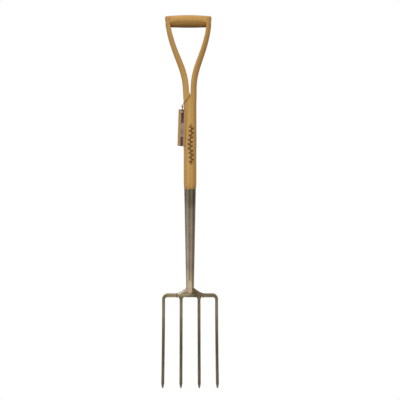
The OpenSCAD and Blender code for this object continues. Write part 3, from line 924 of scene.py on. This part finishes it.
def build_tine(name, side, outer):
    top = BAR_Z - 12 if outer else BAR_Z - BAR_H / 2
    half = (OUTER_PITCH if outer else INNER_PITCH) / 2
    spread = SPLAY if outer else 0.3 * SPLAY
    zs = [POINT_L * q for q in (0.0, 0.012, 0.04, 0.09, 0.16, 0.25, 0.36, 0.5, 0.64, 0.8, 0.92)] + list(
        np.linspace(POINT_L, top - (0 if outer else 3), 70)
    )
    rings, grain, edge = [], [], []
    k = side + (2 if outer else 5)

    def add(ring):
        rings.append([p[:3] for p in ring])
        grain.extend([p[3] for p in ring])
        edge.extend([p[4] for p in ring])

    for z in zs:
        f = fullness(z)
        w, d = (TINE_W - 0.2 + hammer(z, k)) * f, (TINE_D - 0.2 + hammer(z, k + 1)) * f
        c = min(w, d) * 0.3
        x0 = half + spread * (1 - z / top) ** 1.6
        ring = []
        for px, py, e in rounded(w, d, c):
            zz = z
            ring.append((side * (x0 + px), tine_y(z) + py, zz, (px, py, z), e * 0.8 + (0.5 if z < POINT_L else 0.0)))
        add(ring)
    if outer:
        cx, cz = half - 12, BAR_Z - 12
        for a_deg in range(5, 91, 5):
            a, f = math.radians(a_deg), a_deg / 90
            w, d = mix(TINE_W - 0.2, BAR_H - 0.2, ease(f)), mix(TINE_D - 0.2, BAR_D - 0.1, ease(f))
            ring = []
            for px, py, e in rounded(w, d, min(w, d) * 0.3):
                rr = 12 + px
                ring.append(
                    (side * (cx + rr * math.cos(a)), tine_y(top) * (1 - f) + py, cz + rr * math.sin(a), (px, py, top + 19 * f), e * 0.8)
                )
            add(ring)
        for x in np.linspace(half - 12, YOKE_HALF - 1.5, 14)[1:]:
            ring = []
            for px, py, e in rounded(BAR_H - 0.2 + hammer(x, k), BAR_D - 0.1, 2.8):
                ring.append((side * x, py, BAR_Z + px, (px, py, top + 19 + (half - 12 - x)), e * 0.8))
            add(ring)
    else:
        for z in (top - 1.5, top + 4):
            ring = []
            for px, py, e in rounded(TINE_W - 0.2, TINE_D - 0.2, 2.8):
                ring.append((side * (half + px), py, z, (px, py, z), e * 0.5))
            add(ring)
    if side < 0:
        rings = [r[::-1] for r in rings]
        m = len(rings[0])
        grain = [g for i in range(len(rings)) for g in grain[i * m : (i + 1) * m][::-1]]
        edge = [g for i in range(len(rings)) for g in edge[i * m : (i + 1) * m][::-1]]
    ob = loft(name, rings)
    set_vec(ob, "grain", grain)
    set_val(ob, "edge", edge)
    smooth(ob, 50)
    return ob


for name, side, outer in (
    ("outer_tine_left", -1, True),
    ("outer_tine_right", 1, True),
    ("inner_tine_left", -1, False),
    ("inner_tine_right", 1, False),
):
    # the left outer tine takes the painted-lit steel, the right inner tine the painted-shade steel
    steel = {"outer_tine_left": M_TINE_LEFT_PAINTED_LIGHT, "inner_tine_right": M_TINE_RIGHT_PAINTED_SHADE}.get(name, M_TINE)
    finish_piece(build_tine("forged_" + name, side, outer), steel, "fork", [name])


# ---------------------------------------------------------------- yoke
def bar_between(p, q, w0, d0, w1, d1, n=10, bulge=0.0):
    """A rounded bar from p to q in the XZ plane: w across its line, d front to back."""
    p, q = np.array(p, float), np.array(q, float)
    t = (q - p) / np.linalg.norm(q - p)
    nrm = np.array([-t[2], 0, t[0]])
    rings = []
    for i in range(n + 1):
        f = i / n
        w, d = mix(w0, w1, f), mix(d0, d1, f)
        c = p + (q - p) * f + nrm * bulge * math.sin(math.pi * f)
        rings.append([tuple(c + nrm * px + np.array([0, py, 0])) for px, py, _ in rounded(w, d, min(w, d) * 0.42, n=8)])
    ob = loft("part", rings)
    return ob


def build_yoke():
    parts = []
    for s in (-1, 1):
        # sloping shoulder from the neck down to the weld
        parts.append(bar_between((s * 2, 0, 294.6), (s * 37.6, 0, 279.6), 15.0, 15.6, 11.2, 10.8, bulge=-s * 0.6))
        # upper edge carried on up to the neck
        parts.append(bar_between((s * 6, 0, 299.4), (s * 25, 0, 287.6), 8.5, 13.0, 7.0, 11.5))
        # boss over the root of the inner tine
        parts.append(bar_between((s * 26.8, 0, 286.0), (s * 26.8, 0, 273.2), 10.0, 12.5, 11.6, 12.0))
    # a web between the shoulders, set back from their faces
    for a, b in (((-26, 0, 283), (26, 0, 283)), ((-16, 0, 288), (16, 0, 288)), ((-9, 0, 292), (9, 0, 292))):
        parts.append(bar_between(a, b, 10.0, 9.0, 10.0, 9.0, n=12))
    # the bar between the inner tines lies a little behind the shoulders' faces
    parts.append(bar_between((-34, 0, 278.8), (34, 0, 278.8), 11.4, 11.6, 11.4, 11.6, n=30))
    # neck
    prof = [(0, 276.5), (6.5, 276.5), (8.4, 281), (9.6, 288), (10.6, 295), (11.5, 300.5), (11.75, 303.0), (9.1, 303.6), (9.1, 306), (0, 306)]
    parts.append(lathe("part", prof, n=64))
    ob = fuse("yoke_forging", parts, 0.6, passes=12)
    co = coords(ob)
    for i, (x, y, z) in enumerate(co):
        if z < 303.4:
            # the flats run on down over the neck to its foot, a little steeper
            lim = flat_y(z) if z > 290.0 else flat_y(290.0) - (290.0 - z) * 0.06
            if abs(y) > lim:
                co[i, 1] = math.copysign(lim, y)
        co[i, 2] = min(co[i, 2], 303.0) if math.hypot(x, y) > 9.3 else co[i, 2]
    set_coords(ob, co)
    # the tang inside the socket
    tang = lathe(
        "tang",
        [(0, 302), (socket_inner(303) - 0.2, 302)]
        + [(socket_inner(z) - 0.12, z) for z in np.linspace(305, 361, 12)]
        + [(socket_inner(364) - 1.4, 364), (socket_inner(364) - 3.5, 365), (0, 365)],
        n=64,
    )
    bm = bmesh.new()
    bm.from_mesh(ob.data)
    bm.from_mesh(tang.data)
    bm.to_mesh(ob.data)
    bm.free()
    bpy.data.objects.remove(tang)
    co = coords(ob)
    set_vec(ob, "grain", co)
    smooth(ob)
    return ob


yoke = build_yoke()
finish_piece(yoke, M_YOKE, "fork", ["yoke"])


# ---------------------------------------------------------------- welds
def build_welds():
    parts = []
    for s in (-1, 1):
        # ground collar where the outer tine meets the yoke
        rings = []
        for x, g in ((36.4, 0.1), (37.2, 0.75), (38.3, 1.0), (39.6, 0.75), (41.2, 0.25), (42.0, 0.0)):
            rings.append([(s * x, py, BAR_Z + px) for px, py, _ in rounded(BAR_H + 2 * g - 0.1, BAR_D + 2 * g, 3.0 + g * 0.4, n=7)])
        parts.append(loft("part", rings))
        # fillet round the root of the inner tine
        rings = []
        for z, g in ((265.0, 0.0), (267.5, 0.25), (269.5, 0.7), (271.2, 1.5), (272.6, 2.6), (273.6, 3.8), (275.5, 4.0)):
            rings.append(
                [(s * 26.8 + px, py, z) for px, py, _ in rounded(TINE_W - 0.1 + 2 * g, TINE_D - 0.1 + g * 0.9, 2.8 + g * 0.25, n=7)]
            )
        parts.append(loft("part", rings))
    bm = bmesh.new()
    for p in parts:
        bm.from_mesh(p.data)
        bpy.data.objects.remove(p)
    me = bpy.data.meshes.new("weld_fillets")
    bm.to_mesh(me)
    bm.free()
    ob = bpy.data.objects.new("weld_fillets", me)
    bpy.context.scene.collection.objects.link(ob)
    set_vec(ob, "grain", coords(ob))
    smooth(ob, 60)
    return ob


welds = build_welds()
finish_piece(welds, M_WELD, "fork", ["tine_welds"])


# ---------------------------------------------------------------- rivets and washers
def rivet(name, x, z, seat, node):
    prof = [(0, -seat - 1.75), (0.9, -seat - 1.7), (2.2, -seat - 1.5), (3.3, -seat - 1.15), (3.5, -seat - 1.0), (2.5, -seat - 1.0)]
    prof = prof + [(2.44, -seat - 0.9), (2.44, 0.0)]
    prof = prof + [(r, -h) for r, h in prof[::-1][1:]]
    ob = lathe(name, prof, n=48, axis="x", at=(x, 0, z))
    set_vec(ob, "grain", coords(ob))
    smooth(ob, 40)
    finish_piece(ob, M_RIVET, "fork", [node])


def washers(name, x, z, seat, node):
    verts, faces = [], []
    n = 56
    for s in (-1, 1):
        prof = [(2.62, 0.06), (2.75, 0.0), (5.7, 0.0), (5.95, 0.2), (5.95, 0.72), (5.6, 0.98), (2.8, 0.98), (2.62, 0.85)]
        off = len(verts)
        for r, h in prof:
            for k in range(n):
                a = 2 * math.pi * k / n
                verts.append((x + s * (seat + h), r * math.cos(a), z + r * math.sin(a)))
        m = len(prof)
        for i in range(m):
            for k in range(n):
                j, l = (i + 1) % m, (k + 1) % n
                faces.append((off + i * n + k, off + i * n + l, off + j * n + l, off + j * n + k))
    ob = new_object(name, verts, faces)
    fix_normals(ob)
    set_vec(ob, "grain", coords(ob))
    smooth(ob, 35)
    finish_piece(ob, M_RIVET, "fork", [node])


rivet("grip_rivet_rod", lean(GRIP_RIVET_Z), GRIP_RIVET_Z, GRIP_SEAT, "grip_rivet")
rivet("crotch_rivet_rod", 0.0, CROTCH_RIVET_Z, CROTCH_SEAT, "crotch_rivet")
washers("grip_washers", lean(GRIP_RIVET_Z), GRIP_RIVET_Z, GRIP_SEAT, "grip_rivet_washers")
washers("crotch_washers", 0.0, CROTCH_RIVET_Z, CROTCH_SEAT, "crotch_rivet_washers")
reach = socket_outer(SOCKET_RIVET_Z)
pin = lathe(
    "socket_pin",
    [(0, -reach - 0.35), (1.2, -reach - 0.3), (2.0, -reach - 0.1), (2.42, -reach + 0.3), (2.42, 0)]
    + [(2.42, reach - 0.3), (2.0, reach + 0.1), (1.2, reach + 0.3), (0, reach + 0.35)],
    n=48,
    axis="x",
    at=(0, 0, SOCKET_RIVET_Z),
)
set_vec(pin, "grain", coords(pin))
smooth(pin, 40)
finish_piece(pin, M_RIVET, "fork", ["socket_rivet"])

# ---------------------------------------------------------------- the string
ROUTE = [
    (-22.9, -8.0, 847.5), (-22.2, -9.6, 850), (-19.6, -12.2, 855), (-15.6, -14.9, 861),
    (-10.2, -18.0, 868), (-5.0, -20.0, 875), (-1.5, -20.6, 880.5), (-0.6, -20.2, 884.5),
    (-0.6, -17.6, 887.2), (-0.6, -12, 887.6), (-0.6, 0, 887.2), (-0.6, 12, 887.6),
    (-0.6, 17.6, 887.2), (-0.6, 20.2, 884.5), (-1.5, 20.6, 880.5), (-5.2, 20.0, 874.5),
    (-11.2, 17.6, 867.5), (-16.6, 12.6, 860.5), (-20.1, 6.0, 854), (-21.8, -0.6, 849.5),
    (-22.9, -5.0, 847), (-23.3, -7.6, 843.8), (-23.2, -8.2, 839.5), (-22.6, -8.3, 835.4),
    (-22.5, -9.0, 832.9), (-23.0, -11.1, 831.7), (-23.8, -13.2, 832.9), (-24.1, -13.9, 835.4),
    (-24.0, -13.4, 839.5), (-23.6, -11.2, 844.0), (-23.2, -8.8, 847.0),
]
STRING_D = 1.4


def spline(route, steps):
    p = np.array(route, float)
    m, out = len(p) - 1, []
    for k in range(m):
        a, b, c, d = p[max(0, k - 1)], p[k], p[k + 1], p[min(m, k + 2)]
        for j in range(steps):
            t = j / steps
            out.append(0.5 * (2 * b + (c - a) * t + (2 * a - 5 * b + 4 * c - d) * t * t + (3 * b - a - 3 * c + d) * t**3))
    out.append(p[-1])
    return np.array(out)


def twine(name, path, d, pitch=4.2, n=14):
    """Two-ply twine: a section with two lobes that turns along the path."""
    seg = np.linalg.norm(np.diff(path, axis=0), axis=1)
    s = np.concatenate([[0], np.cumsum(seg)])
    count = max(6, int(s[-1] / 0.32))
    t = np.linspace(0, s[-1], count)
    pts = np.stack([np.interp(t, s, path[:, i]) for i in range(3)], axis=1)
    tan = np.gradient(pts, axis=0)
    tan /= np.linalg.norm(tan, axis=1)[:, None]
    u = np.cross(tan[0], (0, 1, 0))
    u /= np.linalg.norm(u)
    rings, tw, groove = [], [], []
    for i in range(count):
        u = u - u.dot(tan[i]) * tan[i]
        u /= np.linalg.norm(u)
        v = np.cross(tan[i], u)
        spin = 2 * math.pi * t[i] / pitch
        ring = []
        end = min(1.0, 0.55 + min(t[i], s[-1] - t[i]) / 0.8)
        for k in range(n):
            a = 2 * math.pi * k / n
            lobe = abs(math.cos(a - spin))
            r = d * (0.365 + 0.13 * lobe**0.8) * end
            ring.append(tuple(pts[i] + r * (math.cos(a) * u + math.sin(a) * v)))
            tw.append((math.cos(a - spin), math.sin(a - spin), t[i] * 0.9 + a))
            groove.append(max(0.0, 1 - lobe * 1.9))
        rings.append(ring)
    ob = loft(name, rings)
    set_vec(ob, "twine", tw)
    set_val(ob, "groove", groove)
    smooth(ob, 70)
    return ob, s[-1]


path = spline(ROUTE, 8)
string, length = twine("jute_string", path, STRING_D)
knot_at = np.array([-23.1, -8.0, 846.6])
down = np.array([-0.12, -0.12, -1.0])
down /= np.linalg.norm(down)
e1 = np.cross(down, (0, 1, 0))
e1 /= np.linalg.norm(e1)
e2 = np.cross(down, e1)
wrap = []
for i in range(0, 96):
    f = i / 95
    a = 2 * math.pi * 3.1 * f
    rr = 2.0 + 0.15 * math.sin(a * 0.7)
    wrap.append(knot_at + down * mix(-2.1, 2.1, f) + rr * (math.cos(a) * e1 + math.sin(a) * e2 * 0.95))
# the two cut ends stand off the knot
tail1 = [wrap[0] + np.array(p) for p in ((-4.6, -1.6, 5.4), (-3.2, -1.4, 4.0), (-1.6, -0.9, 2.2))]
tail2 = [np.array(p) for p in ((-22.4, -11.6, 843.6), (-22.1, -14.6, 840.8), (-22.0, -15.6, 836.6), (-22.1, -15.9, 832.4), (-22.3, -15.9, 829.8))]
knot, _ = twine("twine_knot", spline(tail1 + wrap[::4] + [wrap[-1]] + tail2, 6), STRING_D)
finish_piece(string, M_JUTE, "fork", ["tag_string"])
finish_piece(knot, M_JUTE, "fork", ["tag_knot"])

# ---------------------------------------------------------------- the tag
PIVOT = Vector((-23.0, -11.1, 832.0))
YAW, TILT, TAG_W, TAG_L, TAG_T, HOLE_R, TAG_HEAD = 25.0, 2.2, 25.0, 110.0, 0.8, 2.6, 6.4
PLACE = (
    Matrix.Translation(PIVOT)
    @ Matrix.Rotation(math.radians(-YAW), 4, "Z")
    @ Matrix.Rotation(math.radians(TILT), 4, "Y")
    @ Matrix.Rotation(math.radians(90), 4, "X")
)


def build_tag():
    bm = bmesh.new()
    w, top, low, r = TAG_W / 2, TAG_HEAD, TAG_HEAD - TAG_L, 1.4
    outline = []
    for cx, cy, a0 in ((w - r, low + r, -90), (w - r, top - r, 0), (-w + r, top - r, 90), (-w + r, low + r, 180)):
        for i in range(6):
            a = math.radians(a0 + 18 * i)
            outline.append((cx + r * math.cos(a), cy + r * math.sin(a)))
    # strips across the card, so that it can curl; the hole sits in a square of its own
    xs = [-w, -w + 0.35] + list(np.linspace(-w + r, -4.4, 6)) + list(np.linspace(4.4, w - r, 6)) + [w - 0.35, w]
    me = bpy.data.meshes.new("card_tag")
    ob = bpy.data.objects.new("card_tag", me)
    bpy.context.scene.collection.objects.link(ob)
    verts = [bm.verts.new((x, y, 0)) for x, y in outline]
    f = bm.faces.new(verts)
    hole = [bm.verts.new((HOLE_R * math.cos(2 * math.pi * k / 40), HOLE_R * math.sin(2 * math.pi * k / 40), 0)) for k in range(40)]
    edges = [bm.edges.new((hole[k], hole[(k + 1) % 40])) for k in range(40)]
    outer = list(f.edges)
    bm.faces.remove(f)
    bmesh.ops.triangle_fill(bm, use_beauty=True, edges=outer + edges)
    # cut the sheet into strips
    for y in np.linspace(low + 1, top - 1, 54):
        bmesh.ops.bisect_plane(bm, geom=bm.verts[:] + bm.edges[:] + bm.faces[:], plane_co=(0, float(y), 0), plane_no=(0, 1, 0))
    for x in xs[1:-1]:
        bmesh.ops.bisect_plane(bm, geom=bm.verts[:] + bm.edges[:] + bm.faces[:], plane_co=(float(x), 0, 0), plane_no=(1, 0, 0))
    bm.normal_update()
    r2 = bmesh.ops.extrude_face_region(bm, geom=bm.faces[:])
    top_v = [g for g in r2["geom"] if isinstance(g, bmesh.types.BMVert)]
    for v in bm.verts:
        v.co.z = -TAG_T * 0.36
    for v in top_v:
        v.co.z = TAG_T * 0.36
    bmesh.ops.recalc_face_normals(bm, faces=bm.faces)
    bm.to_mesh(me)
    bm.free()
    co = coords(ob) * MM
    front = (co[:, 2] > 0).astype(float)
    card = np.stack([co[:, 0], co[:, 1], front], axis=1)
    # the card curls a little about its length and about its width
    u, v = co[:, 0] / w, (co[:, 1] - top) / TAG_L
    co[:, 2] += -0.55 * u * u + 0.3 * np.sin(v * -4.2) * (0.3 + 0.7 * np.abs(v)) - 0.25 * v * u
    place = np.array(PLACE)
    world = co @ place[:3, :3].T + place[:3, 3]
    set_coords(ob, world)
    set_vec(ob, "card", card)
    smooth(ob, 40)
    return ob


tag = build_tag()
finish_piece(tag, M_CARD, "tag", ["hang_tag"])

# ---------------------------------------------------------------- light, camera
world = bpy.data.worlds.new("studio")
bpy.context.scene.world = world
world.use_nodes = True
wt = world.node_tree
wt.nodes.clear()
wo = wt.nodes.new("ShaderNodeOutputWorld")
tc = wt.nodes.new("ShaderNodeTexCoord")
sep = wt.nodes.new("ShaderNodeSeparateXYZ")
wt.links.new(tc.outputs["Generated"], sep.inputs[0])
X, Y, Z = (S(wt, o) for o in sep.outputs)
az = (X.atan2(-Y) / (2 * math.pi) + 0.5).clamp()
ramp = wt.nodes.new("ShaderNodeValToRGB")
wt.links.new(az.s, ramp.inputs[0])
ramp.color_ramp.interpolation = "EASE"
STOPS = [  # azimuth in degrees, 0 towards the camera and positive to the right, and the room's brightness there
    (-180, (0.55, 0.54, 0.52)), (-128, (0.30, 0.29, 0.26)), (-95, (0.62, 0.60, 0.56)), (-60, (0.80, 0.77, 0.72)),
    (-34, (0.24, 0.22, 0.19)), (-10, (0.22, 0.20, 0.16)), (30, (0.56, 0.48, 0.38)), (58, (0.30, 0.26, 0.20)),
    (84, (0.17, 0.15, 0.11)), (112, (0.36, 0.34, 0.28)), (145, (0.45, 0.43, 0.40)), (180, (0.55, 0.54, 0.52)),
]
cr = ramp.color_ramp
while len(cr.elements) < len(STOPS):
    cr.elements.new(0.5)
for el, (a, c) in zip(cr.elements, STOPS, strict=True):
    el.position = (a + 180) / 360
for el, (a, c) in zip(cr.elements, STOPS, strict=True):
    el.color = (*c, 1)
def blend(f, a, b):
    n = wt.nodes.new("ShaderNodeMix")
    n.data_type = "RGBA"
    n.clamp_factor = True
    wt.links.new(f.s, n.inputs[0])
    for sock, v in ((n.inputs[6], a), (n.inputs[7], b)):
        if isinstance(v, tuple):
            sock.default_value = (*v, 1)
        else:
            wt.links.new(v, sock)
    return n.outputs[2]


# matt surfaces: a soft box overhead, a dim floor
matt = blend(Z.step(0.12, 0.75), ramp.outputs[0], (0.76, 0.745, 0.72))
matt = blend(Z.step(-0.05, -0.6), matt, (0.085, 0.068, 0.045))
# polished surfaces also pick up a pale table in front of the fork
front = (-Y / (X * X + Y * Y).sqrt().max(0.001)).step(0.2, 0.75)
sky = blend(X.step(-0.25, 0.35), (0.7, 0.675, 0.63), (0.2, 0.18, 0.14))
gloss = blend(Z.step(0.15, 0.6), ramp.outputs[0], sky)
gloss = blend(Z.step(-0.17, -0.27) * front, gloss, (1.05, 1.0, 0.93))
gloss = blend(Z.step(-0.25, -0.7), gloss, (0.42, 0.4, 0.36))
lp = wt.nodes.new("ShaderNodeLightPath")
shown = blend(S(wt, lp.outputs["Is Glossy Ray"]), matt, gloss)
bg = wt.nodes.new("ShaderNodeBackground")
wt.links.new(shown, bg.inputs[0])
bg.inputs[1].default_value = 1.0
white = wt.nodes.new("ShaderNodeBackground")
white.inputs[0].default_value = (1, 1, 1, 1)
white.inputs[1].default_value = 1.0
ms = wt.nodes.new("ShaderNodeMixShader")
wt.links.new(lp.outputs["Is Camera Ray"], ms.inputs[0])
wt.links.new(bg.outputs[0], ms.inputs[1])
wt.links.new(white.outputs[0], ms.inputs[2])
wt.links.new(ms.outputs[0], wo.inputs[0])


def area(name, at, to, size, power, color):
    d = bpy.data.lights.new(name, "AREA")
    d.shape = "RECTANGLE"
    d.size, d.size_y = size
    d.energy = power
    d.color = color
    o = bpy.data.objects.new(name, d)
    bpy.context.scene.collection.objects.link(o)
    o.location = at
    o.rotation_euler = (Vector(to) - Vector(at)).to_track_quat("-Z", "Y").to_euler()
    return o


area("key", (-1.4, -2.6, 3.0), (0, 0, 0.65), (1.2, 1.4), 53, (1.0, 0.985, 0.96))
area("fill", (2.2, -2.2, 2.5), (0, 0, 0.6), (1.0, 1.2), 27, (1.0, 0.95, 0.88))
area("head", (-0.9, -1.1, 0.8), (-0.05, 0, 0.28), (0.4, 0.5), 1.3, (1.0, 0.97, 0.92))

bpy.context.scene.view_settings.view_transform = "Standard"
bpy.context.scene.view_settings.look = "None"

ELEV, DIST = math.radians(5.0), 15.0
SPAN = 1.2028 / 1.004
aim = Vector((0.0298, 0.0, 0.566))
cam_data = bpy.data.cameras.new("camera")
cam = bpy.data.objects.new("camera", cam_data)
bpy.context.scene.collection.objects.link(cam)
bpy.context.scene.camera = cam
back = Vector((0, -math.cos(ELEV), math.sin(ELEV)))
cam.location = aim + back * DIST
cam.rotation_euler = (-back).to_track_quat("-Z", "Y").to_euler()
cam_data.sensor_width = 36.0
cam_data.lens = 36.0 * DIST / SPAN
cam_data.clip_start, cam_data.clip_end = 0.05, 60.0
